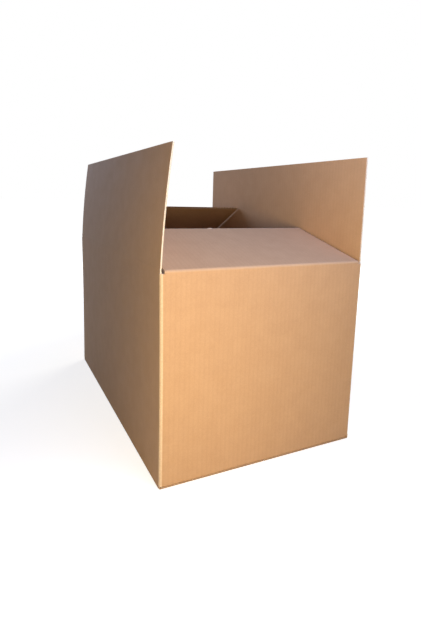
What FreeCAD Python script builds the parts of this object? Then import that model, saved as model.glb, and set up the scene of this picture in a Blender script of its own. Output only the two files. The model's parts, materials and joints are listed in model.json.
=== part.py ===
import FreeCAD, Part
import math
import os

# An open shipping carton, folded from one slotted blank of corrugated board.
# X runs across the end walls, Y along the side walls and Z up from the floor.
# The near end wall is on -Y. All lengths are in millimetres, all angles in degrees.

# Outside sizes of the folded carton, up to its top folds
width = 362.0
length = 582.0
height = 326.0

# The board, and the outside radius of its folds
board = 4.0
bend_radius = 4.5

# Gap between the free edges of two opposite side flaps that lie flat, at the top and
# at the bottom
top_gap = 14.0
bottom_gap = 1.5

# Slots between the flaps: how far a side flap stops short of the end walls, how far an
# end flap stops short of the side walls, and how much more at its free edge on the left
side_slot = 3.0
end_slot = 4.5
end_taper = 3.5

# How far the slots run into the walls, past the top folds and past the bottom folds
slot_nick_top = 5.0
slot_nick_bottom = 1.0

# Glue lap inside the far right corner, and how far it stops short of the slots
lap_width = 35.0
lap_inset = 4.0

# How the open flaps stand: the end flaps rise from level, the left flap leans in from
# upright, more at its free edge than at its foot, and the right flap stands upright
near_rise_angle = 15.0
far_rise_angle = 27.0
left_foot_angle = 2.5
left_tip_angle = 8.0

# How far the fold of a standing side flap bulges out past the wall
fold_bulge = 2.5

# Clearances: under an end flap's round fold, under a side flap's foot, and between the
# bulge of a side flap's fold and the flap when it hangs down outside
end_fold_gap = 0.3
side_fold_gap = 0.5
hang_gap = 0.3

# What follows from those sizes
top_depth = (width - top_gap) / 2
bottom_depth = (width - bottom_gap) / 2
half_board = board / 2
side_x = width / 2
end_y = length / 2
side_flap_length = length - 2 * side_slot
end_flap_width = width - 2 * end_slot
corner_low = board + slot_nick_bottom
corner_high = height - slot_nick_top
end_axis_y = end_y - half_board
end_axis_z = height - half_board
end_wall_top = end_axis_z - half_board - end_fold_gap
side_wall_top = height - side_fold_gap
side_axis_x = side_x + fold_bulge + hang_gap / 2

ORIGIN = FreeCAD.Vector(0, 0, 0)
X = FreeCAD.Vector(1, 0, 0)
Y = FreeCAD.Vector(0, 1, 0)
Z = FreeCAD.Vector(0, 0, 1)


def arc(start, middle, end):
    """An edge that is an arc through three points."""
    return Part.Arc(start, middle, end).toShape()


def line(start, end):
    """A straight edge."""
    return Part.LineSegment(start, end).toShape()


def prism(edges, way):
    """The solid that a closed outline sweeps when it moves straight along a vector."""
    outline = Part.Wire(Part.__sortEdges__(edges))
    return Part.Face(outline).extrude(way)


def rounded_route(points, radius):
    """An open route through the points, with each corner turned by an arc."""
    edges = []
    start = points[0]
    for before, corner, after in zip(points, points[1:], points[2:]):
        back = (before - corner).normalize()
        ahead = (after - corner).normalize()
        tangent_in = corner + back * radius
        tangent_out = corner + ahead * radius
        centre = tangent_in + ahead * radius
        middle = centre + (corner - centre).normalize() * radius
        edges.append(line(start, tangent_in))
        edges.append(arc(tangent_in, middle, tangent_out))
        start = tangent_out
    edges.append(line(start, points[-1]))
    return Part.Wire(edges)


def wall_strip(points, low, high):
    """Board standing on edge along a route of its middle, folded at the route's corners."""
    route = rounded_route(points, bend_radius - half_board)
    route.translate(Z * low)
    start = points[0] + Z * low
    along = (points[1] - points[0]).normalize()
    across = along.cross(Z) * half_board
    rise = Z * (high - low)
    corners = [start - across, start + across, start + across + rise, start - across + rise]
    section = Part.makePolygon(corners + corners[:1])
    return route.makePipeShell([section], True, True)


def walls():
    """The band of four walls, and its glue lap, tucked inside the far right corner."""
    mid_x = side_x - half_board
    mid_y = end_y - half_board
    lap_x = mid_x - board
    lap_tip_y = end_y - bend_radius - lap_width
    shoulder_y = end_y - bend_radius - lap_inset
    route = [
        FreeCAD.Vector(mid_x, end_y, 0),
        FreeCAD.Vector(mid_x, -mid_y, 0),
        FreeCAD.Vector(-mid_x, -mid_y, 0),
        FreeCAD.Vector(-mid_x, mid_y, 0),
        FreeCAD.Vector(lap_x, mid_y, 0),
        FreeCAD.Vector(lap_x, shoulder_y, 0),
    ]
    band = wall_strip(route, corner_low, corner_high)
    lap_low = corner_low + lap_inset
    lap_height = corner_high - lap_inset - lap_low
    lap_corner = FreeCAD.Vector(lap_x - half_board, lap_tip_y, lap_low)
    lap = Part.makeBox(board, shoulder_y - lap_tip_y, lap_height, lap_corner)
    return [band, lap]


def side_panel():
    """The left wall between its slots, folded under into the outer left bottom flap."""
    outer = -side_x
    inner = outer + board
    edge = outer + bottom_depth
    centre = FreeCAD.Vector(outer + bend_radius, 0, bend_radius)
    inner_radius = bend_radius - board
    slant = FreeCAD.Vector(-1, 0, -1).normalize()
    start_y = -side_flap_length / 2
    edges = [
        line(FreeCAD.Vector(outer, 0, side_wall_top), FreeCAD.Vector(outer, 0, bend_radius)),
        arc(
            FreeCAD.Vector(outer, 0, bend_radius),
            centre + slant * bend_radius,
            FreeCAD.Vector(outer + bend_radius, 0, 0),
        ),
        line(FreeCAD.Vector(outer + bend_radius, 0, 0), FreeCAD.Vector(edge, 0, 0)),
        line(FreeCAD.Vector(edge, 0, 0), FreeCAD.Vector(edge, 0, board)),
        line(FreeCAD.Vector(edge, 0, board), FreeCAD.Vector(outer + bend_radius, 0, board)),
        arc(
            FreeCAD.Vector(outer + bend_radius, 0, board),
            centre + slant * inner_radius,
            FreeCAD.Vector(inner, 0, bend_radius),
        ),
        line(FreeCAD.Vector(inner, 0, bend_radius), FreeCAD.Vector(inner, 0, side_wall_top)),
        line(FreeCAD.Vector(inner, 0, side_wall_top), FreeCAD.Vector(outer, 0, side_wall_top)),
    ]
    panel = prism(edges, Y * side_flap_length)
    panel.translate(Y * start_y)
    return panel


def end_flap_plan(fold_y, free_y, low):
    """A flat end flap, cut a little out of square: its left edge runs in to its free edge."""
    edge_x = end_flap_width / 2
    corners = [
        FreeCAD.Vector(-edge_x, fold_y, low),
        FreeCAD.Vector(edge_x, fold_y, low),
        FreeCAD.Vector(edge_x, free_y, low),
        FreeCAD.Vector(end_taper - edge_x, free_y, low),
    ]
    outline = Part.makePolygon(corners + corners[:1])
    return Part.Face(outline).extrude(Z * board)


def end_panel():
    """The near wall between its slots, and the inner bottom flap that it folds into."""
    outer = -end_y
    inner = outer + board
    root = outer + bend_radius
    centre = FreeCAD.Vector(0, root, board + bend_radius)
    inner_radius = bend_radius - board
    slant = FreeCAD.Vector(0, -1, -1).normalize()
    fold_z = board + bend_radius
    edges = [
        line(FreeCAD.Vector(0, outer, end_wall_top), FreeCAD.Vector(0, outer, fold_z)),
        arc(
            FreeCAD.Vector(0, outer, fold_z),
            centre + slant * bend_radius,
            FreeCAD.Vector(0, root, board),
        ),
        line(FreeCAD.Vector(0, root, board), FreeCAD.Vector(0, root, 2 * board)),
        arc(
            FreeCAD.Vector(0, root, 2 * board),
            centre + slant * inner_radius,
            FreeCAD.Vector(0, inner, fold_z),
        ),
        line(FreeCAD.Vector(0, inner, fold_z), FreeCAD.Vector(0, inner, end_wall_top)),
        line(FreeCAD.Vector(0, inner, end_wall_top), FreeCAD.Vector(0, outer, end_wall_top)),
    ]
    wall = prism(edges, X * end_flap_width)
    wall.translate(X * (-end_flap_width / 2))
    flap = end_flap_plan(root, outer + bottom_depth, board)
    return [wall, flap]


def carton_body():
    """Four walls, glue lap and four bottom flaps, glued and folded from one sheet."""
    band, lap = walls()
    sides = [side_panel()]
    sides.append(sides[0].mirror(ORIGIN, X))
    ends = end_panel()
    ends.extend([piece.mirror(ORIGIN, Y) for piece in end_panel()])
    return band.multiFuse([lap] + sides + ends).removeSplitter()


def end_flap(rise):
    """The near top flap, round at its fold, raised about the middle of that fold."""
    reach = top_depth - half_board
    plate = end_flap_plan(0, reach, -half_board)
    fold = Part.makeCylinder(half_board, end_flap_width, X * (-end_flap_width / 2), X)
    flap = plate.fuse(fold).removeSplitter()
    flap.rotate(ORIGIN, X, rise)
    flap.translate(FreeCAD.Vector(0, -end_axis_y, end_axis_z))
    return flap


def left_flap():
    """The left side flap, bowed a little, standing on its fold and leaning in."""
    foot_lean = math.radians(left_foot_angle)
    tip_lean = math.radians(left_tip_angle)
    bow_radius = top_depth / (tip_lean - foot_lean)
    foot_offset = side_axis_x - side_x - fold_bulge + half_board

    def point(share, offset):
        """A point at a share of the flap's depth, offset inward from its middle."""
        lean = foot_lean + share * (tip_lean - foot_lean)
        across = foot_offset * math.cos(foot_lean)
        drop = foot_offset * math.sin(foot_lean)
        inward = bow_radius * (math.cos(foot_lean) - math.cos(lean)) + offset * math.cos(lean)
        upward = bow_radius * (math.sin(lean) - math.sin(foot_lean)) - offset * math.sin(lean)
        return FreeCAD.Vector(-side_axis_x + across + inward, 0, height - drop + upward)

    edges = [
        arc(point(0, -half_board), point(0.5, -half_board), point(1, -half_board)),
        line(point(1, -half_board), point(1, half_board)),
        arc(point(1, half_board), point(0.5, half_board), point(0, half_board)),
        line(point(0, half_board), point(0, -half_board)),
    ]
    flap = prism(edges, Y * side_flap_length)
    flap.translate(Y * (-side_flap_length / 2))
    return flap


def right_flap():
    """The right side flap, flat and upright on its fold."""
    corner = FreeCAD.Vector(side_x + fold_bulge - board, -side_flap_length / 2, height)
    return Part.makeBox(board, side_flap_length, top_depth, corner)


parts = {
    "carton_body": carton_body(),
    "left_flap": left_flap(),
    "right_flap": right_flap(),
    "near_flap": end_flap(near_rise_angle),
    "far_flap": end_flap(far_rise_angle).mirror(ORIGIN, Y),
}

os.makedirs("parts", exist_ok=True)
for name, shape in parts.items():
    shape.exportStep("parts/" + name + ".step")
    print(name, len(shape.Solids), "solid", round(shape.Volume), "mm3", shape.isValid())
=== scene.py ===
import json
import math

import bpy
from bpy.props import FloatProperty, FloatVectorProperty, IntProperty, PointerProperty
from mathutils import Matrix, Vector


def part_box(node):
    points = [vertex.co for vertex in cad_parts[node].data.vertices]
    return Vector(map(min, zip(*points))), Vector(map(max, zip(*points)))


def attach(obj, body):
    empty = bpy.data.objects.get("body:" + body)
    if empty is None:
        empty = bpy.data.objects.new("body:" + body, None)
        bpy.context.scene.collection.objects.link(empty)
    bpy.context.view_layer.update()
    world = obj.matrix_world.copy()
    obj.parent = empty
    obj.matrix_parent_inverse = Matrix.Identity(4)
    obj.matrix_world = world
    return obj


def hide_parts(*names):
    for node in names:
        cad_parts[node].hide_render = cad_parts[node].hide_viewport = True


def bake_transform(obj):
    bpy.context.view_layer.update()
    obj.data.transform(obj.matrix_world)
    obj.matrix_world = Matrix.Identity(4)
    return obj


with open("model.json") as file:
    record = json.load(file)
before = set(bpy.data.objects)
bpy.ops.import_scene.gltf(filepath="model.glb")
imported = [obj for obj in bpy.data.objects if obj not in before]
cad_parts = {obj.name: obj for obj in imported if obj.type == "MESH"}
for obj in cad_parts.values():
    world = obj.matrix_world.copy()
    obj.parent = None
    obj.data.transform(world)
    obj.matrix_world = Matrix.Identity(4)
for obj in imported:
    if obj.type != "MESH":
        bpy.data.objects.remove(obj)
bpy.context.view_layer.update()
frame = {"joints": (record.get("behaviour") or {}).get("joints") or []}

bl_info = {
    "name": "Open cardboard box",
    "version": (1, 0, 0),
    "blender": (4, 5, 0),
    "location": "3D View > Sidebar > Carton",
    "description": "Folds an open shipping carton from corrugated board around its packed frame",
    "category": "Add Mesh",
}

# One shared frame: X runs across the end walls, Y along the side walls, Z up from the floor.
LOW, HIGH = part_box("carton_body")
FLAP_LOW, FLAP_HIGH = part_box("near_flap")
SIDE_LOW, SIDE_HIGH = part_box("right_flap")
HINGES = {joint["name"]: Vector(joint["pos_m"]) for joint in frame["joints"]}
FOLD_HEIGHT = HINGES["right_flap_fold"].z
UP = Vector((0, 0, 1))
INWARD_TURN = Vector((-1, 0, 0))

# How near a point lies to a place to count as there, in metres: exactly on it, in one row of a
# mesh, anywhere across a board's end, and behind the face of a fold.
EXACT = 1e-5
SAME_ROW = 0.0002
END_REACH = 0.0045
FOLD_REACH = 0.006

# Share of a fold's turn at each of its ends that isn't marked pale.
FOLD_MARGIN = 0.04
# How pale the liner is marked at the walls' corners and the end flaps' folds, up to 1: stretched
# paper, and painted highlight on the rounded folds and corners.
CORNER_WEAR_AND_HIGHLIGHT = 1.0
END_FOLD_WEAR_AND_HIGHLIGHT = 0.2

# Rows of faces across a scored crease, along a bowed flap, and up the walls.
CREASE_ROWS = 4
BOW_ROWS = 8
WALL_ROWS = 12

QUARTER_TURN = math.radians(90)
SMOOTH_ANGLE = math.radians(35)


def linear(code):
    """An sRGB hex colour as linear red, green and blue."""
    values = [int(code[i:i + 2], 16) / 255 for i in (1, 3, 5)]
    return tuple(v / 12.92 if v <= 0.04045 else ((v + 0.055) / 1.055) ** 2.4 for v in values)


class CartonBoard(bpy.types.PropertyGroup):
    """The corrugated board that the carton is cut from."""

    thickness: FloatProperty(
        name="Board", description="Thickness of the whole board", default=0.004, unit="LENGTH"
    )
    liner: FloatProperty(
        name="Liner", description="Thickness of one paper sheet of the board", default=0.00035,
        unit="LENGTH",
    )
    pitch: FloatProperty(
        name="Flute pitch", description="Distance from one flute to the next", default=0.0078,
        unit="LENGTH",
    )
    fold_radius: FloatProperty(
        name="Fold radius", description="Outside radius of a fold", default=0.0045, unit="LENGTH"
    )
    edge_inset: FloatProperty(
        name="Edge inset", description="How far the crushed fluting sits in from a cut edge",
        default=0.0003, unit="LENGTH",
    )


class CartonBlank(bpy.types.PropertyGroup):
    """How the blank is slotted, and where its panels end."""

    nick: FloatProperty(
        name="Slot nick", description="How far a slot runs into the walls past the top folds",
        default=0.005, unit="LENGTH",
    )
    bottom_gap: FloatProperty(
        name="Bottom gap", description="Gap between the two outer bottom flaps", default=0.0015,
        unit="LENGTH",
    )
    end_taper: FloatProperty(
        name="End taper", description="How far an end flap's left edge runs in at its free edge",
        default=0.0035, unit="LENGTH",
    )
    lap: FloatProperty(
        name="Glue lap", description="Width of the lap glued inside the far right corner",
        default=0.035, unit="LENGTH",
    )
    lap_taper: FloatProperty(
        name="Lap taper", description="How much shorter the lap is at each end of its free edge",
        default=0.008, unit="LENGTH",
    )
    bottom_radius: FloatProperty(
        name="Bottom fold radius", description="Outside radius of the tight bottom folds",
        default=0.0015, unit="LENGTH",
    )
    bottom_recess: FloatProperty(
        name="Bottom recess", description="How far the outer bottom flaps stop short of the ends",
        default=0.001, unit="LENGTH",
    )
    crease: FloatProperty(
        name="Crease", description="Width of a scored crease", default=0.005, unit="LENGTH"
    )
    crease_press: FloatProperty(
        name="Crease press", description="Share of the board's thickness pressed in at a crease",
        default=0.28, min=0, max=0.6,
    )
    pale_rim: FloatProperty(
        name="Pale rim", description="Width of the pale strip along a flap's free edge",
        default=0.0025, unit="LENGTH",
    )
    tag_place: FloatProperty(
        name="Tag place", description="Where the near flap's tag stands, from the middle",
        default=-0.027, unit="LENGTH",
    )
    tag_width: FloatProperty(
        name="Tag width", description="Width of the tag", default=0.009, unit="LENGTH"
    )
    tag_depth: FloatProperty(
        name="Tag depth", description="How far the tag stands out", default=0.003, unit="LENGTH"
    )
    crush_reach: FloatProperty(
        name="Crush reach", description="Width of the strip that a slotting knife crushes",
        default=0.005, unit="LENGTH",
    )
    crush: FloatProperty(
        name="Crush", description="Share of the thickness lost along a slotted edge",
        default=0.5, min=0, max=0.8,
    )


class CartonStance(bpy.types.PropertyGroup):
    """How the open flaps stand."""

    near_rise: FloatProperty(
        name="Near flap rise", description="Angle of the near flap above level",
        default=math.radians(15), subtype="ANGLE",
    )
    far_rise: FloatProperty(
        name="Far flap rise", description="Angle of the far flap above level",
        default=math.radians(27), subtype="ANGLE",
    )
    left_foot: FloatProperty(
        name="Left flap lean", description="Inward lean of the left flap at its fold",
        default=math.radians(2.5), subtype="ANGLE",
    )
    left_bow: FloatProperty(
        name="Left flap bow", description="How much more the left flap leans at its free edge",
        default=math.radians(5.5), subtype="ANGLE",
    )
    flare: FloatProperty(
        name="Flare", description="How far the walls bow out on each side at their top folds",
        default=0.0024, unit="LENGTH",
    )


class CartonColours(bpy.types.PropertyGroup):
    """Colours of the papers in the board."""

    liner: FloatVectorProperty(
        name="Liner", description="Unbleached kraft liner", default=linear("#CEA67F"),
        subtype="COLOR", min=0, max=1,
    )
    liner_dark: FloatVectorProperty(
        name="Liner fibres", description="Darker fibres and clouds in the liner",
        default=linear("#B9916B"), subtype="COLOR", min=0, max=1,
    )
    # Paler paper where folds stretch the liner or a cut leaves it pale, and painted highlight on
    # the rounded folds and corners.
    worn_and_highlight: FloatVectorProperty(
        name="Stretched liner", description="Paler paper where a fold has stretched it",
        default=linear("#EFD5B4"), subtype="COLOR", min=0, max=1,
    )
    cut: FloatVectorProperty(
        name="Cut edge", description="Fresh fibres along a cut", default=linear("#F6EAD6"),
        subtype="COLOR", min=0, max=1,
    )
    fluting: FloatVectorProperty(
        name="Fluting", description="Recycled paper of the fluting", default=linear("#A98158"),
        subtype="COLOR", min=0, max=1,
    )
    floor: FloatVectorProperty(
        name="Floor", description="Pale studio floor", default=linear("#DAD6CC"),
        subtype="COLOR", min=0, max=1,
    )


class CartonStudio(bpy.types.PropertyGroup):
    """Camera and lamps."""

    camera_place: FloatVectorProperty(
        name="Camera place", description="Where the camera stands",
        default=(-0.3876, -0.8568, 0.4251), subtype="TRANSLATION", unit="LENGTH",
    )
    camera_heading: FloatProperty(
        name="Camera heading", description="Turn of the view from +Y towards +X",
        default=math.radians(26.32), subtype="ANGLE",
    )
    camera_tilt: FloatProperty(
        name="Camera tilt", description="How far the view looks down",
        default=math.radians(7.79), subtype="ANGLE",
    )
    camera_roll: FloatProperty(
        name="Camera roll", description="Turn of the camera about its view",
        default=math.radians(1.57), subtype="ANGLE",
    )
    focal_length: FloatProperty(
        name="Focal length", description="In millimetres, on a frame 36 mm wide", default=38.11
    )
    frame_shift: FloatProperty(
        name="Frame shift", description="Upright shift of the frame, in frame widths",
        default=-0.1332,
    )
    front_power: FloatProperty(
        name="Front lamp", description="Power of the warm lamp near the camera, in watts",
        default=4.0,
    )
    top_power: FloatProperty(
        name="Top lamp", description="Power of the cool lamp overhead, in watts", default=5.0
    )
    window_power: FloatProperty(
        name="Window lamp", description="Power of the cool lamp behind the left side, in watts",
        default=18.0,
    )
    back_power: FloatProperty(
        name="Back lamp", description="Power of the lamp behind the right side, in watts",
        default=22.0,
    )
    surround: FloatProperty(
        name="Surround", description="Strength of the light from all around", default=0.04
    )
    floor_glow: FloatProperty(
        name="Floor glow", description="How bright the camera sees the floor near the box",
        default=0.64, min=0, max=1,
    )
    backdrop_near: FloatProperty(
        name="Backdrop near", description="Where the floor starts to fade to white",
        default=0.5, unit="LENGTH",
    )
    backdrop_far: FloatProperty(
        name="Backdrop far", description="Where the floor is plain white", default=1.4,
        unit="LENGTH",
    )
    steps: IntProperty(
        name="Fold steps", description="Faces round each fold", default=6, min=2, max=24
    )


def settings(*groups):
    """The carton's settings in one group or in several, as they stand in the scene."""
    found = [getattr(bpy.context.scene, "carton_" + group) for group in groups]
    return found if len(found) > 1 else found[0]


def add_node(tree, kind, options=None, inputs=None):
    """Adds a node with its options, its constant inputs and its links."""
    node = tree.nodes.new(kind)
    for name, value in (options or {}).items():
        setattr(node, name, value)
    for name, value in (inputs or {}).items():
        if isinstance(value, bpy.types.NodeSocket):
            tree.links.new(value, node.inputs[name])
        else:
            node.inputs[name].default_value = value
    return node


def start_material(name):
    """A new material's tree, with its shader and its object coordinates."""
    material = bpy.data.materials.new(name)
    material.use_nodes = True
    tree = material.node_tree
    tree.nodes.clear()
    shader = add_node(tree, "ShaderNodeBsdfPrincipled")
    add_node(tree, "ShaderNodeOutputMaterial", inputs={"Surface": shader.outputs["BSDF"]})
    place = add_node(tree, "ShaderNodeTexCoord").outputs["Object"]
    return material, tree, shader, place


def mix_colours(tree, amount, first, second):
    """The colour between two colours at an amount."""
    node = add_node(tree, "ShaderNodeMix", {"data_type": "RGBA"}, {0: amount, 6: first, 7: second})
    return node.outputs[2]


def kraft_liner(name, across):
    """Unbleached kraft linerboard, made on a paper machine and left uncoated: matt brown, softly
    clouded, with short fibres, and with the flutes that it is glued to showing as faint lines,
    bumped and painted with shade in darker bands."""
    material, tree, shader, place = start_material(name)
    board, colours = settings("board", "colours")
    liner = tuple(colours.liner) + (1,)
    dark = tuple(colours.liner_dark) + (1,)
    worn_and_highlight = tuple(colours.worn_and_highlight) + (1,)
    # Pulp settles in clouds about 25 mm across, and fibre bundles are 2 mm long.
    clouds = add_node(tree, "ShaderNodeTexNoise", inputs={
        "Vector": place, "Scale": 1 / 0.025, "Detail": 3.0, "Roughness": 0.55,
    }).outputs["Fac"]
    fibres = add_node(tree, "ShaderNodeTexNoise", inputs={
        "Vector": place, "Scale": 1 / 0.002, "Detail": 4.0, "Roughness": 0.7,
    }).outputs["Fac"]
    cloud_share = add_node(tree, "ShaderNodeMapRange", inputs={
        "Value": clouds, "From Min": 0.35, "From Max": 0.65, "To Min": 0.0, "To Max": 0.16,
    }).outputs["Result"]
    fibre_share = add_node(tree, "ShaderNodeMapRange", inputs={
        "Value": fibres, "From Min": 0.35, "From Max": 0.7, "To Min": 0.0, "To Max": 0.35,
    }).outputs["Result"]
    mottle = add_node(tree, "ShaderNodeMath", {"operation": "ADD"}, {
        0: cloud_share, 1: fibre_share,
    })
    paper = mix_colours(tree, mottle.outputs[0], liner, dark)
    # The wave texture turns once in pi / 10 of its own length.
    flutes = add_node(tree, "ShaderNodeTexWave", {"bands_direction": across}, {
        "Vector": place, "Scale": math.pi / (10 * board.pitch), "Distortion": 0.25, "Detail": 1.0,
        "Detail Scale": 0.4,
    }).outputs["Fac"]
    # Painted shade: darker bands in the colour where the washboard over the flutes falls into
    # shade.
    flute_shade_share = add_node(tree, "ShaderNodeMapRange", inputs={
        "Value": flutes, "From Min": 0.5, "From Max": 1.0, "To Min": 0.0, "To Max": 0.14,
    }).outputs["Result"]
    flute_shaded = mix_colours(tree, flute_shade_share, paper, dark)
    # The pale mark: stretched paper at folds, cut paper at a free edge, and painted highlight on
    # the rounded folds and corners.
    folded = add_node(tree, "ShaderNodeAttribute", {"attribute_name": "pale_paper_and_highlight"}).outputs["Fac"]
    pale_paper_and_highlight = add_node(tree, "ShaderNodeMath", {"operation": "MULTIPLY"}, {0: folded, 1: fibres})
    # The fibres break the mark up and weaken it, so it is made half as strong again.
    gain = 1.5
    shown = add_node(tree, "ShaderNodeMath", {"operation": "MULTIPLY"}, {
        0: pale_paper_and_highlight.outputs[0], 1: gain,
    })
    tree.links.new(mix_colours(tree, shown.outputs[0], flute_shaded, worn_and_highlight), shader.inputs["Base Color"])
    roughness = add_node(tree, "ShaderNodeMapRange", inputs={
        "Value": clouds, "To Min": 0.72, "To Max": 0.9,
    }).outputs["Result"]
    tree.links.new(roughness, shader.inputs["Roughness"])
    washboard = add_node(tree, "ShaderNodeBump", inputs={
        "Strength": 0.35, "Distance": 0.00012, "Height": flutes,
    }).outputs["Normal"]
    grain = add_node(tree, "ShaderNodeBump", inputs={
        "Strength": 0.5, "Distance": 0.00008, "Height": fibres, "Normal": washboard,
    }).outputs["Normal"]
    tree.links.new(grain, shader.inputs["Normal"])
    shader.inputs["IOR"].default_value = 1.45
    shader.inputs["Specular IOR Level"].default_value = 0.3
    return material


def torn_paper(name, colour, fuzz):
    """Raw paper, cut or crushed by the slotting knives: matt, with loose fibres of two tones."""
    material, tree, shader, place = start_material(name)
    pale = tuple(colour) + (1,)
    deep = tuple(channel * 0.72 for channel in colour) + (1,)
    fibres = add_node(tree, "ShaderNodeTexNoise", inputs={
        "Vector": place, "Scale": 1 / fuzz, "Detail": 4.0, "Roughness": 0.65,
    }).outputs["Fac"]
    share = add_node(tree, "ShaderNodeMapRange", inputs={
        "Value": fibres, "From Min": 0.35, "From Max": 0.7,
    }).outputs["Result"]
    tree.links.new(mix_colours(tree, share, pale, deep), shader.inputs["Base Color"])
    bump = add_node(tree, "ShaderNodeBump", inputs={
        "Strength": 0.6, "Distance": 0.00015, "Height": fibres,
    }).outputs["Normal"]
    tree.links.new(bump, shader.inputs["Normal"])
    shader.inputs["Roughness"].default_value = 0.92
    shader.inputs["Specular IOR Level"].default_value = 0.2
    return material


def finishes(across):
    """The papers of one board in slot order: liner, cut edge, fluting, cut edge."""
    colours = settings("colours")
    liner = "kraft_liner_" + across.lower()
    if liner not in bpy.data.materials:
        kraft_liner(liner, across)
    # Loose fibres along a cut are 1.2 mm long, and those in the fluting 2 mm.
    if "cut_edge" not in bpy.data.materials:
        torn_paper("cut_edge", colours.cut, 0.0012)
        torn_paper("fluting_medium", colours.fluting, 0.002)
    names = (liner, "cut_edge", "fluting_medium", "cut_edge")
    return [bpy.data.materials[name] for name in names]


def select_only(*pieces):
    """Selects these objects, and makes the first the active one."""
    bpy.ops.object.select_all(action="DESELECT")
    for piece in pieces:
        piece.select_set(True)
    bpy.context.view_layer.objects.active = pieces[0]


def select_points(piece, test):
    """Enters edit mode with the vertices that pass a test selected."""
    select_only(piece)
    bpy.ops.object.mode_set(mode="EDIT")
    bpy.ops.mesh.select_mode(type="VERT")
    bpy.ops.mesh.select_all(action="DESELECT")
    bpy.ops.object.mode_set(mode="OBJECT")
    chosen = 0
    for vertex in piece.data.vertices:
        vertex.select = test(vertex.co)
        chosen += vertex.select
    if not chosen:
        raise RuntimeError(f"no vertex of {piece.name} passes the test")
    bpy.ops.object.mode_set(mode="EDIT")


def fix_place(piece):
    """Puts an object's place, turn and scale into its mesh."""
    select_only(piece)
    bpy.ops.object.transform_apply(location=True, rotation=True, scale=True)


def sheet(size, centre, turn, columns=1):
    """A flat strip of paper of some width and depth, standing up in the local frame."""
    bpy.ops.object.select_all(action="DESELECT")
    bpy.ops.mesh.primitive_grid_add(
        x_subdivisions=columns, y_subdivisions=1, size=1, location=centre,
        rotation=(QUARTER_TURN, 0, turn),
    )
    piece = bpy.context.object
    piece.scale = (size[0], size[1], 1)
    fix_place(piece)
    return piece


def fluted_strip(width, depth):
    """A strip of fluting as wide as a board: one flute, shaped and then repeated."""
    board = settings("board")
    count = round(width / board.pitch)
    pitch = width / count
    height = board.thickness / 2 - 1.5 * board.liner
    columns = 8
    start = -width / 2
    strip = sheet((pitch, depth), (start + pitch / 2, board.thickness / 2, -depth / 2), 0, columns)
    for column in range(1, columns):
        rise = height * math.sin(2 * math.pi * column / columns)
        if abs(rise) < EXACT:
            continue
        place = start + pitch * column / columns
        select_points(strip, lambda co: abs(co.x - place) < pitch / 40)
        bpy.ops.transform.translate(value=(0, rise, 0))
        bpy.ops.object.mode_set(mode="OBJECT")
    select_only(strip)
    repeat = strip.modifiers.new("flutes", "ARRAY")
    repeat.count = count
    repeat.use_relative_offset = False
    repeat.use_constant_offset = True
    repeat.constant_offset_displace = (pitch, 0, 0)
    repeat.use_merge_vertices = True
    repeat.merge_threshold = pitch / 100
    bpy.ops.object.modifier_apply(modifier=repeat.name)
    return strip


def follow(route):
    """Draws the selected edges along a route from the local origin. Each leg is a length, a turn
    inwards and a number of steps. Returns each fold's centre, first arm and turn, then the place
    and the way that the route ends at."""
    place = Vector((0, 0, 0))
    way = UP.copy()
    folds = []
    for length, turn, steps in route:
        if turn:
            centre = place + INWARD_TURN.cross(way) * (length / turn)
            bpy.ops.mesh.spin(steps=steps, angle=-turn, center=centre, axis=INWARD_TURN)
            spin = Matrix.Rotation(turn, 3, INWARD_TURN)
            folds.append((centre, place - centre, turn))
            place = centre + spin @ (place - centre)
            way = spin @ way
        else:
            for _ in range(steps):
                bpy.ops.mesh.extrude_region_move(
                    TRANSFORM_OT_translate={"value": way * (length / steps)}
                )
            place = place + way * length
    return folds, place, way


def mark_fold_wear_and_highlight(piece, folds, amount):
    """Marks the points within each fold: stretched liner, and painted highlight on the rounded
    fold.
    """
    marks = piece.data.attributes.new("pale_paper_and_highlight", "FLOAT", "POINT")
    for vertex in piece.data.vertices:
        for centre, start, turn in folds:
            arm = Vector((0, vertex.co.y - centre.y, vertex.co.z - centre.z))
            if arm.length < EXACT or arm.length > start.length + FOLD_REACH:
                continue
            ahead = INWARD_TURN.cross(start).dot(arm) * turn > 0
            if ahead and FOLD_MARGIN < start.angle(arm) / abs(turn) < 1 - FOLD_MARGIN:
                marks.data[vertex.index].value = amount


def crush_edges(paper, width):
    """Presses a board's two side edges thinner, as the slotting knives do."""
    board, blank = settings("board", "blank")
    reach = blank.crush_reach
    middle = (0, board.thickness / 2, 0)
    digits = 6
    slack = 2 * 10 ** -digits
    places = sorted({round(abs(vertex.co.x), digits) for vertex in paper.data.vertices})
    for place in places:
        share = (place - width / 2 + reach) / reach
        if share <= 0:
            continue
        select_points(paper, lambda co: abs(abs(co.x) - place) < slack)
        press = 1 - blank.crush * share
        bpy.ops.transform.resize(value=(1, press, 1), center_override=middle)
        bpy.ops.object.mode_set(mode="OBJECT")


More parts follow.
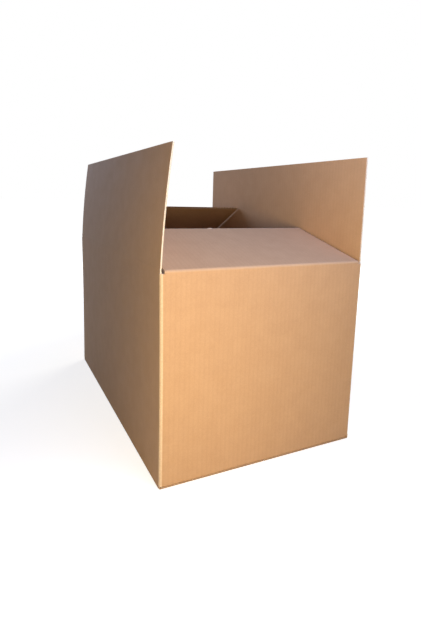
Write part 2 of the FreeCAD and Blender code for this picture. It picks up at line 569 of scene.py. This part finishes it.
def folded_board(name, width, route, across, fluted=True, outer_route=None, edge_slot=1, rows=1):
    """Corrugated board in the local frame: width along X, its outer face at Y 0 and its inner
    face behind it, standing from Z 0 and drawn along a route that folds it inwards. Each paper
    starts as a spare strip below Z 0, which is cut off once the paper is drawn."""
    board, blank = settings("board", "blank")
    thick = board.thickness
    liner = board.liner
    inner = thick - 2 * liner
    side = width / 2 - board.edge_inset - liner / 2
    spare = thick
    papers = [
        (sheet((width, spare), (0, liner / 2, -spare / 2), 0, rows), 0, outer_route or route),
        (sheet((width, spare), (0, thick - liner / 2, -spare / 2), 0, rows), 0, route),
        (sheet((inner, spare), (-side, thick / 2, -spare / 2), QUARTER_TURN), edge_slot, route),
        (sheet((inner, spare), (side, thick / 2, -spare / 2), QUARTER_TURN), edge_slot, route),
    ]
    if fluted:
        strip = fluted_strip(width - 2 * board.edge_inset - liner, spare)
        papers.append((strip, 2, route))
    else:
        # The last flute beside the raw edge runs along it, from one liner to the other.
        web = math.radians(75)
        last = sheet((width - 2 * board.edge_inset, spare), (0, 1.5 * liner, -spare / 2), 0)
        papers.insert(0, (last, 2, [(thick * web, web, 5), (liner, 0, 1)]))
    slots = finishes(across)
    for paper, slot, path in papers:
        for material in slots:
            paper.data.materials.append(material)
        for face in paper.data.polygons:
            face.material_index = slot
        if slot == 0 and fluted:
            for cut in (width / 2 - blank.crush_reach, blank.crush_reach - width / 2):
                select_points(paper, lambda co: True)
                bpy.ops.mesh.bisect(plane_co=(cut, 0, 0), plane_no=(1, 0, 0))
                bpy.ops.object.mode_set(mode="OBJECT")
        if fluted:
            crush_edges(paper, width)
        select_points(paper, lambda co: co.z > -spare / 2)
        folds, end, way = follow(path)
        bpy.ops.object.mode_set(mode="OBJECT")
        select_points(paper, lambda co: abs(co.z + spare) < spare / 10)
        bpy.ops.mesh.delete(type="VERT")
        bpy.ops.object.mode_set(mode="OBJECT")
    select_only(*[paper for paper, _, _ in papers])
    bpy.ops.object.join()
    piece = bpy.context.object
    piece.name = name
    piece.data.name = name
    return piece, folds, end, way


def across_end(co, end):
    """Whether a point lies across a board's end, on any of its papers."""
    return (co - Vector((co.x, end.y, end.z))).length < END_REACH


def on_free_edge(co, end, way):
    """Whether a point lies on a board's free edge itself, which the route reaches last."""
    arm = Vector((0, co.y - end.y, co.z - end.z))
    return abs(arm.dot(way)) < SAME_ROW and arm.length < END_REACH


def mark_free_edge(piece, end, way):
    """Marks the points along a free edge, where the cut leaves the liner pale."""
    marks = piece.data.attributes["pale_paper_and_highlight"]
    for vertex in piece.data.vertices:
        if on_free_edge(vertex.co, end, way):
            marks.data[vertex.index].value = 1


def leave_tag(piece, end, way, place, width, depth):
    """Leaves a short tag of board on a free edge, where the blank was held in its sheet."""
    for cut in (place - width / 2, place + width / 2):
        select_points(piece, lambda co: True)
        bpy.ops.mesh.bisect(plane_co=(cut, 0, 0), plane_no=(1, 0, 0))
        bpy.ops.object.mode_set(mode="OBJECT")

    def in_tag(co):
        return on_free_edge(co, end, way) and abs(co.x - place) < width / 2 + EXACT

    select_points(piece, in_tag)
    bpy.ops.mesh.extrude_region_move(TRANSFORM_OT_translate={"value": way * depth})
    bpy.ops.object.mode_set(mode="OBJECT")


def thicken(piece, pale_rims=True):
    """Gives the papers of a board their thickness, with pale cut fibres along their rims, or
    with rims as brown as the papers, as the far flap's edge looks in the photo: painted shade on a
    cut that is as pale as the others."""
    board = settings("board")
    select_only(piece)
    paper = piece.modifiers.new("paper", "SOLIDIFY")
    paper.thickness = board.liner
    paper.offset = 0
    paper.use_even_offset = True
    paper.material_offset_rim = 1 if pale_rims else 0
    bpy.ops.object.modifier_apply(modifier=paper.name)


def put(piece, matrix):
    """Moves a finished board from the local frame to its place."""
    piece.matrix_world = matrix
    fix_place(piece)
    select_only(piece)
    bpy.ops.object.shade_smooth_by_angle(angle=SMOOTH_ANGLE)


def at_wall(turn, reach, height):
    """Where a board stands: its outer face on the wall that faces -Y, turned about the middle."""
    return Matrix.Rotation(turn, 4, "Z") @ Matrix.Translation((0, -reach, height))


def flare(piece, low, high):
    """Bows a piece outwards to both sides, more and more towards its top."""
    stance = settings("stance")
    bpy.ops.object.select_all(action="DESELECT")
    bpy.ops.object.add(type="LATTICE", location=(0, 0, (low + high) / 2))
    cage = bpy.context.object
    levels = 7
    cage.scale = (2 * HIGH.x, 2 * HIGH.y, high - low)
    cage.data.points_u = 2
    cage.data.points_v = 2
    cage.data.points_w = levels
    for way in ("u", "v", "w"):
        setattr(cage.data, "interpolation_type_" + way, "KEY_LINEAR")
    for point in cage.data.points:
        share = point.co.z + 0.5
        point.co_deform.x = point.co.x * (1 + stance.flare * share ** 2 / HIGH.x)
    select_only(piece)
    bend = piece.modifiers.new("flare", "LATTICE")
    bend.object = cage
    bpy.ops.object.modifier_apply(modifier=bend.name)
    bpy.data.objects.remove(cage)


def taper(piece, end, square_side):
    """Runs one edge of an end flap in at its free edge, and leaves the other edge square."""
    blank = settings("blank")
    width = FLAP_HIGH.x - FLAP_LOW.x
    select_points(piece, lambda co: across_end(co, end))
    shrink = 1 - blank.end_taper / width
    pivot = (square_side * width / 2, 0, 0)
    bpy.ops.transform.resize(value=(shrink, 1, 1), center_override=pivot)
    bpy.ops.object.mode_set(mode="OBJECT")


def dress(piece, body, node):
    """Makes a fixed piece ride on its body and stand for its node."""
    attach(piece, body)
    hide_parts(node)


class CARTON_OT_walls(bpy.types.Operator):
    """Fold the band of four walls and glue its lap inside the far right corner"""

    bl_idname = "carton.walls"
    bl_label = "Walls"

    def execute(self, context):
        board, blank, studio = settings("board", "blank", "studio")
        radius = board.fold_radius
        bend = (radius * QUARTER_TURN, QUARTER_TURN, studio.steps)
        across = HIGH.x - LOW.x
        along = HIGH.y - LOW.y
        bottom = board.thickness + radius
        top = FOLD_HEIGHT - blank.nick
        height = top - bottom
        # A row next to each end keeps what is done there from spreading over a whole panel.
        route = [
            (board.thickness, 0, 1),
            (along - radius - board.thickness, 0, 1), bend,
            (across - 2 * radius, 0, 1), bend,
            (along - 2 * radius, 0, 1), bend,
            (across - 2 * radius - board.thickness, 0, 1), bend,
            (board.thickness, 0, 1),
            (blank.lap, 0, 1),
        ]
        piece, folds, end, _ = folded_board(
            "walls", height, route, "X", fluted=False, rows=WALL_ROWS,
        )
        select_points(piece, lambda co: across_end(co, end))
        shrink = 1 - 2 * blank.lap_taper / height
        bpy.ops.transform.resize(value=(shrink, 1, 1), center_override=(0, 0, 0))
        bpy.ops.object.mode_set(mode="OBJECT")
        # The corners' pale mark: stretched liner, and painted highlight on the rounded corners.
        mark_fold_wear_and_highlight(piece, folds, CORNER_WEAR_AND_HIGHLIGHT)
        self.lengthen_corners(piece, folds, -height / 2)
        thicken(piece)
        rows = ((0, -1, 0, HIGH.x), (0, 0, -1, HIGH.y), (1, 0, 0, (top + bottom) / 2))
        put(piece, Matrix(rows + ((0, 0, 0, 1),)))
        flare(piece, bottom, top)
        # The flutes stand upright in every wall, so the side walls' liner counts them along Y.
        side_slot = len(piece.data.materials)
        piece.data.materials.append(finishes("Y")[0])
        faces_sideways = 0.75
        for face in piece.data.polygons:
            if face.material_index == 0 and abs(face.normal.x) > faces_sideways:
                face.material_index = side_slot
        dress(piece, "box", "carton_body")
        return {"FINISHED"}

    def lengthen_corners(self, piece, folds, foot):
        """Draws the liners of the three outer corners down past the bottom folds."""
        board = settings("board")
        above_floor = 0.001
        reach = board.fold_radius - above_floor
        half = board.fold_radius / 2
        for centre, start, turn in folds[:3]:
            def in_corner(co):
                arm = Vector((0, co.y - centre.y, co.z - centre.z))
                near = arm.length < board.fold_radius + EXACT
                liner = abs(arm.length - half) > half - 2 * board.liner
                ahead = INWARD_TURN.cross(start).dot(arm) > -start.length * SAME_ROW
                return near and liner and abs(co.x - foot) < EXACT and ahead

            select_points(piece, in_corner)
            bpy.ops.mesh.extrude_region_move(TRANSFORM_OT_translate={"value": (-reach, 0, 0)})
            bpy.ops.object.mode_set(mode="OBJECT")


class CARTON_OT_bottom_flaps(bpy.types.Operator):
    """Fold the four bottom flaps: the end flaps inside, the side flaps closed over them"""

    bl_idname = "carton.bottom_flaps"
    bl_label = "Bottom flaps"

    def execute(self, context):
        board, blank = settings("board", "blank")
        radius = board.fold_radius
        depth = (HIGH.x - LOW.x - blank.bottom_gap) / 2
        start = board.thickness + radius
        flip = Matrix.Rotation(math.radians(180), 4, "Y")
        end_width = FLAP_HIGH.x - FLAP_LOW.x
        side_width = HIGH.y - LOW.y - 2 * blank.bottom_recess
        panels = [
            ("near_bottom_flap", end_width, 0, "X", 0, HIGH.y),
            ("far_bottom_flap", end_width, 0, "X", 180, HIGH.y),
            ("left_bottom_flap", side_width, board.thickness, "Y", -90, HIGH.x),
            ("right_bottom_flap", side_width, board.thickness, "Y", 90, HIGH.x),
        ]
        for name, width, drop, across, quarter, reach in panels:
            piece, _, end, _ = folded_board(
                name, width, self.route(drop, radius, depth), across,
                outer_route=self.route(drop, blank.bottom_radius, depth), edge_slot=2,
            )
            if across == "X":
                taper(piece, end, 1 if quarter else -1)
            thicken(piece)
            put(piece, at_wall(math.radians(quarter), reach, start) @ flip)
            dress(piece, "box", "carton_body")
        return {"FINISHED"}

    def route(self, drop, radius, depth):
        """Down to the fold, round it at a radius, and in to the flap's free edge."""
        board, studio = settings("board", "studio")
        down = drop + board.fold_radius - radius
        bend = (radius * QUARTER_TURN, QUARTER_TURN, studio.steps)
        legs = [bend, (depth - radius, 0, 1)]
        return [(down, 0, 1)] + legs if down > EXACT else legs


class CARTON_OT_end_flaps(bpy.types.Operator):
    """Fold the near and the far top flap part way in"""

    bl_idname = "carton.end_flaps"
    bl_label = "End flaps"

    def execute(self, context):
        board, blank, stance, studio = settings("board", "blank", "stance", "studio")
        radius = board.fold_radius
        width = FLAP_HIGH.x - FLAP_LOW.x
        start = FOLD_HEIGHT - blank.nick
        half = board.thickness / 2
        depth = SIDE_HIGH.z - SIDE_LOW.z - half
        flaps = [
            ("near", stance.near_rise, 0, 1, Vector((0, 1, 0))),
            ("far", stance.far_rise, 180, -1, Vector((0, -1, 0))),
        ]
        for side, rise, quarter, square_side, inward in flaps:
            hinge = HINGES[side + "_flap_fold"]
            slack = radius - half
            drop = slack * (1 - math.sin(rise)) / math.cos(rise)
            foot = hinge.z - drop - start
            gone = slack * math.cos(rise) - drop * math.sin(rise)
            turn = QUARTER_TURN - rise
            rim = blank.pale_rim
            route = [
                (foot, 0, 1), (radius * turn, turn, studio.steps),
                (depth - gone - rim, 0, 1), (rim, 0, 1),
            ]
            piece, folds, end, way = folded_board(
                side + "_flap_board", width, route, "X", edge_slot=2,
            )
            taper(piece, end, square_side)
            # The folds' pale mark: stretched liner, and painted highlight on the rounded fold.
            mark_fold_wear_and_highlight(piece, folds, END_FOLD_WEAR_AND_HIGHLIGHT)
            if side == "near":
                mark_free_edge(piece, end, way)
                leave_tag(piece, end, way, blank.tag_place, blank.tag_width, blank.tag_depth)
            # The far flap's rims are brown: painted shade where its cut edge lies in shadow.
            thicken(piece, pale_rims=side == "near")
            put(piece, at_wall(math.radians(quarter), HIGH.y, start))
            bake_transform(piece)
            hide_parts(side + "_flap")
        return {"FINISHED"}


class CARTON_OT_side_flaps(bpy.types.Operator):
    """Stand the two side flaps up, the left one leaning in and bowed"""

    bl_idname = "carton.side_flaps"
    bl_label = "Side flaps"

    def execute(self, context):
        blank, stance = settings("blank", "stance")
        width = SIDE_HIGH.y - SIDE_LOW.y
        start = FOLD_HEIGHT - blank.nick
        before = blank.nick - blank.crease / 2
        depth = SIDE_HIGH.z - FOLD_HEIGHT - blank.crease / 2
        flaps = [
            ("left", stance.left_foot, stance.left_bow, -90),
            ("right", 0.0, 0.0, 90),
        ]
        for side, lean, bow, quarter in flaps:
            route = [
                (before, 0, 1), (blank.crease, lean, CREASE_ROWS),
                (depth, bow, BOW_ROWS if bow else 1),
            ]
            piece = folded_board(side + "_flap_board", width, route, "Y")[0]
            self.press_crease(piece, before)
            thicken(piece)
            put(piece, at_wall(math.radians(quarter), HIGH.x + stance.flare, start))
            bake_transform(piece)
            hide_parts(side + "_flap")
        return {"FINISHED"}

    def press_crease(self, piece, before):
        """Presses the scored crease in from the inner face, deepest along its middle."""
        blank = settings("blank")
        row_height = blank.crease / CREASE_ROWS
        slack = row_height * 0.4
        for row, press in ((1, 0.5), (2, 1.0), (3, 0.5)):
            height = before + row * row_height
            select_points(piece, lambda co: abs(co.z - height) < slack)
            squeeze = 1 - blank.crease_press * press
            bpy.ops.transform.resize(value=(1, squeeze, 1), center_override=(0, 0, height))
            bpy.ops.object.mode_set(mode="OBJECT")


class CARTON_OT_stage(bpy.types.Operator):
    """Set the pale floor, the soft lamps and the camera"""

    bl_idname = "carton.stage"
    bl_label = "Stage"

    def execute(self, context):
        studio, colours = settings("studio", "colours")
        scene = context.scene
        floor_colour = tuple(colours.floor) + (1,)
        bpy.ops.object.select_all(action="DESELECT")
        bpy.ops.mesh.primitive_plane_add(size=60, location=(0, 0, 0))
        floor = bpy.context.object
        floor.name = "floor"
        material = bpy.data.materials.new("pale_floor")
        material.use_nodes = True
        tree = material.node_tree
        tree.nodes.clear()
        matt = add_node(tree, "ShaderNodeBsdfDiffuse", inputs={"Color": floor_colour})
        place = add_node(tree, "ShaderNodeTexCoord").outputs["Object"]
        away = add_node(tree, "ShaderNodeVectorMath", {"operation": "LENGTH"}, {0: place})
        fade = add_node(tree, "ShaderNodeMapRange", inputs={
            "Value": away.outputs["Value"], "From Min": studio.backdrop_near,
            "From Max": studio.backdrop_far, "To Min": studio.floor_glow, "To Max": 1.0,
        })
        # Under the box the floor stays dark, so that the seam between the bottom flaps does too.
        under_box = HIGH.x * 0.9
        clear = add_node(tree, "ShaderNodeMath", {"operation": "GREATER_THAN"}, {
            0: away.outputs["Value"], 1: under_box,
        })
        shown = add_node(tree, "ShaderNodeMath", {"operation": "MULTIPLY"}, {
            0: fade.outputs["Result"], 1: clear.outputs[0],
        })
        seen = add_node(tree, "ShaderNodeLightPath").outputs["Is Camera Ray"]
        lift = add_node(tree, "ShaderNodeMath", {"operation": "MULTIPLY"}, {
            0: seen, 1: shown.outputs[0],
        })
        glow = add_node(tree, "ShaderNodeEmission", inputs={
            "Color": (1, 1, 1, 1), "Strength": lift.outputs[0],
        })
        both = add_node(tree, "ShaderNodeAddShader", inputs={
            0: matt.outputs[0], 1: glow.outputs[0],
        })
        add_node(tree, "ShaderNodeOutputMaterial", inputs={"Surface": both.outputs[0]})
        floor.data.materials.append(material)

        world = bpy.data.worlds.new("studio")
        scene.world = world
        world.use_nodes = True
        tree = world.node_tree
        tree.nodes.clear()
        seen = add_node(tree, "ShaderNodeLightPath").outputs["Is Camera Ray"]
        soft = add_node(tree, "ShaderNodeBackground", inputs={
            "Color": (1, 1, 1, 1), "Strength": studio.surround,
        })
        white = add_node(tree, "ShaderNodeBackground", inputs={"Color": (1, 1, 1, 1)})
        mix = add_node(tree, "ShaderNodeMixShader", inputs={
            0: seen, 1: soft.outputs[0], 2: white.outputs[0],
        })
        add_node(tree, "ShaderNodeOutputWorld", inputs={"Surface": mix.outputs[0]})

        # Each lamp's name, its place, the point that it faces, its width, power and colour.
        lamps = [
            ("front", (-0.29, -0.84, 0.31), (-0.05, -0.29, 0.2), 0.25,
             studio.front_power, "#FFEABE"),
            ("top", (0.05, -0.6, 0.9), (0, -0.2, 0.3), 0.4, studio.top_power, "#B7CAFF"),
            ("window", (-0.9, 1.6, 1.15), (0, 0.2, 0.35), 1, studio.window_power, "#C0D4FF"),
            ("back", (1.5, 1.4, 1), (0.1, 0.2, 0.2), 1.2, studio.back_power, "#FFFAF2"),
        ]
        for name, place, target, size, power, colour in lamps:
            bpy.ops.object.light_add(type="AREA", location=place)
            lamp = bpy.context.object
            lamp.name = name
            facing = Vector(target) - Vector(place)
            lamp.rotation_euler = facing.to_track_quat("-Z", "Y").to_euler()
            lamp.data.size = size
            lamp.data.energy = power
            lamp.data.color = linear(colour)

        bpy.ops.object.camera_add(location=studio.camera_place)
        camera = bpy.context.object
        heading = Matrix.Rotation(-studio.camera_heading, 3, "Z")
        tilt = Matrix.Rotation(QUARTER_TURN - studio.camera_tilt, 3, "X")
        roll = Matrix.Rotation(studio.camera_roll, 3, "Z")
        camera.rotation_euler = (heading @ tilt @ roll).to_euler()
        camera.data.sensor_fit = "HORIZONTAL"
        camera.data.sensor_width = 36
        camera.data.lens = studio.focal_length
        camera.data.shift_y = studio.frame_shift
        camera.data.clip_start = 0.01
        scene.camera = camera
        scene.view_settings.view_transform = "Standard"
        return {"FINISHED"}


class CARTON_PT_panel(bpy.types.Panel):
    """The carton's pieces and settings"""

    bl_label = "Carton"
    bl_idname = "CARTON_PT_panel"
    bl_space_type = "VIEW_3D"
    bl_region_type = "UI"
    bl_category = "Carton"

    def draw(self, context):
        for group in (CartonBoard, CartonBlank, CartonStance, CartonColours, CartonStudio):
            box = self.layout.box()
            held = getattr(context.scene, SETTINGS[group])
            for name in group.__annotations__:
                box.prop(held, name)
        for operator in OPERATORS:
            self.layout.operator(operator.bl_idname)


OPERATORS = (
    CARTON_OT_walls,
    CARTON_OT_bottom_flaps,
    CARTON_OT_end_flaps,
    CARTON_OT_side_flaps,
    CARTON_OT_stage,
)
SETTINGS = {
    CartonBoard: "carton_board",
    CartonBlank: "carton_blank",
    CartonStance: "carton_stance",
    CartonColours: "carton_colours",
    CartonStudio: "carton_studio",
}


def register():
    for group, name in SETTINGS.items():
        bpy.utils.register_class(group)
        setattr(bpy.types.Scene, name, PointerProperty(type=group))
    for operator in OPERATORS:
        bpy.utils.register_class(operator)
    bpy.utils.register_class(CARTON_PT_panel)


def unregister():
    bpy.utils.unregister_class(CARTON_PT_panel)
    for operator in reversed(OPERATORS):
        bpy.utils.unregister_class(operator)
    for group, name in SETTINGS.items():
        delattr(bpy.types.Scene, name)
        bpy.utils.unregister_class(group)


def main():
    register()
    bpy.ops.carton.walls()
    bpy.ops.carton.bottom_flaps()
    bpy.ops.carton.end_flaps()
    bpy.ops.carton.side_flaps()
    bpy.ops.carton.stage()


if __name__ == "__main__":
    main()
